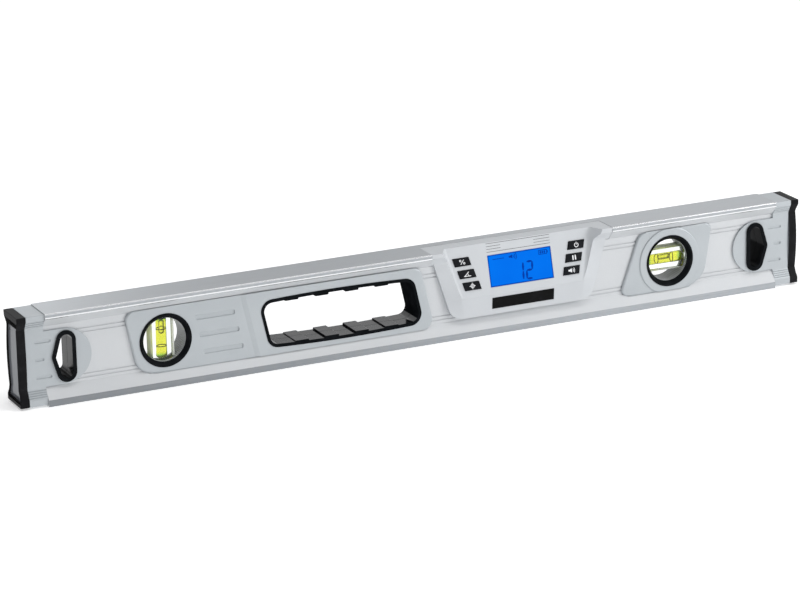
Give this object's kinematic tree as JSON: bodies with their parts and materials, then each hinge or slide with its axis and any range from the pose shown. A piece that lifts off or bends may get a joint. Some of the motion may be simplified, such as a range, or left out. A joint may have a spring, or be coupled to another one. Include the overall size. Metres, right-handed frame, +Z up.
{
  "type": "digital spirit level",
  "caption": "Digital spirit level: aluminium I-beam with plumb and level vials, hand hole, hang holes, rubber end caps and a tilted display with keys on both sides.",
  "frame": {"origin": "middle of the base face, at the beam's mid-length and mid-depth", "axes": "+X along the beam towards the level vial, front with the display faces -Y, +Z up"},
  "size_m": [0.6, 0.0282, 0.0646],
  "materials": {
    "beam_aluminium": "milled faces, silver coat on the web",
    "silver_plastic": "satin silver paint",
    "housing_plastic": "satin silver paint",
    "cap_rubber": "matt, worn",
    "black_plastic": "satin",
    "grey_plastic": "frosted",
    "clear_acrylic": "polished",
    "vial_liquid": "clear yellow-green",
    "bubble_air": "clear",
    "mark_ink": "printed",
    "vial_plug": "satin",
    "display_blue": "clear window over a lit blue display",
    "lcd_glass": "polished",
    "white_plastic": "diffusing",
    "board_green": "solder resist",
    "key_rubber": "soft touch",
    "component_black": "moulded",
    "plate_black": "gloss",
    "steel": "plated",
    "cell_jacket": "plain printed jacket"
  },
  "bodies": {
    "level_body": {"backlight": "white_plastic", "battery_cells": "cell_jacket", "battery_contacts": "steel", "beam": "beam_aluminium", "board_screws": "steel", "buzzer": "component_black", "cap_left": "cap_rubber", "cap_right": "cap_rubber", "case_screws": "steel", "circuit_board": "board_green", "display_housing": "housing_plastic", "display_window": "display_blue", "door_pin": "steel", "front_plate": "plate_black", "grip_cover_back": "silver_plastic", "grip_cover_front": "silver_plastic", "grip_liner_back": "black_plastic", "grip_liner_front": "black_plastic", "hang_liner_left_back": "black_plastic", "hang_liner_left_front": "black_plastic", "hang_liner_right_back": "black_plastic", "hang_liner_right_front": "black_plastic", "key_switches": "component_black", "lcd_cell": "lcd_glass", "level_cover_back": "silver_plastic", "level_cover_front": "silver_plastic", "level_cradle_back": "grey_plastic", "level_cradle_front": "grey_plastic", "level_fluid": "vial_liquid", "level_marks": "mark_ink", "level_plug": "vial_plug", "level_ring_back": "black_plastic", "level_ring_front": "black_plastic", "level_vial": "clear_acrylic", "plumb_cradle_back": "grey_plastic", "plumb_cradle_front": "grey_plastic", "plumb_fluid": "vial_liquid", "plumb_marks": "mark_ink", "plumb_plug": "vial_plug", "plumb_ring_back": "black_plastic", "plumb_ring_front": "black_plastic", "plumb_vial": "clear_acrylic", "rear_housing": "silver_plastic", "sleeve_left": "silver_plastic", "sleeve_right": "silver_plastic", "tilt_sensor": "component_black"},
    "key_left_low_body": {"key_left_low": "key_rubber"},
    "key_left_middle_body": {"key_left_middle": "key_rubber"},
    "key_left_top_body": {"key_left_top": "key_rubber"},
    "key_right_low_body": {"key_right_low": "key_rubber"},
    "key_right_middle_body": {"key_right_middle": "key_rubber"},
    "key_right_top_body": {"key_right_top": "key_rubber"},
    "door_body": {"battery_door": "silver_plastic"},
    "plumb_bubble_body": {"plumb_bubble": "bubble_air"},
    "level_bubble_body": {"level_bubble": "bubble_air"}
  },
  "joints": [
    {"name": "key_left_low_press", "type": "slide", "parent": "level_body", "child": "key_left_low_body", "axis": [0, 0.9692, -0.2462], "range_m": [0, 0.0007], "stiffness_N_per_m": 1500, "springref_m": -0.0003},
    {"name": "key_left_middle_press", "type": "slide", "parent": "level_body", "child": "key_left_middle_body", "axis": [0, 0.9692, -0.2462], "range_m": [0, 0.0007], "stiffness_N_per_m": 1500, "springref_m": -0.0003},
    {"name": "key_left_top_press", "type": "slide", "parent": "level_body", "child": "key_left_top_body", "axis": [0, 0.9692, -0.2462], "range_m": [0, 0.0007], "stiffness_N_per_m": 1500, "springref_m": -0.0003},
    {"name": "key_right_low_press", "type": "slide", "parent": "level_body", "child": "key_right_low_body", "axis": [0, 0.9692, -0.2462], "range_m": [0, 0.0007], "stiffness_N_per_m": 1500, "springref_m": -0.0003},
    {"name": "key_right_middle_press", "type": "slide", "parent": "level_body", "child": "key_right_middle_body", "axis": [0, 0.9692, -0.2462], "range_m": [0, 0.0007], "stiffness_N_per_m": 1500, "springref_m": -0.0003},
    {"name": "key_right_top_press", "type": "slide", "parent": "level_body", "child": "key_right_top_body", "axis": [0, 0.9692, -0.2462], "range_m": [0, 0.0007], "stiffness_N_per_m": 1500, "springref_m": -0.0003},
    {"name": "battery_door_hinge", "type": "hinge", "parent": "level_body", "child": "door_body", "pos_m": [0.075, 0.0102, 0.0159], "axis": [-1, 0, 0], "range_deg": [0, 90]},
    {"name": "plumb_bubble_float", "type": "slide", "parent": "level_body", "child": "plumb_bubble_body", "axis": [0, 0, 1], "range_m": [-0.015, 0], "stiffness_N_per_m": 0.4, "springref_m": 0.03},
    {"name": "level_bubble_float", "type": "slide", "parent": "level_body", "child": "level_bubble_body", "axis": [1, 0, 0], "range_m": [-0.0075, 0.0075], "stiffness_N_per_m": 0.4}
  ]
}
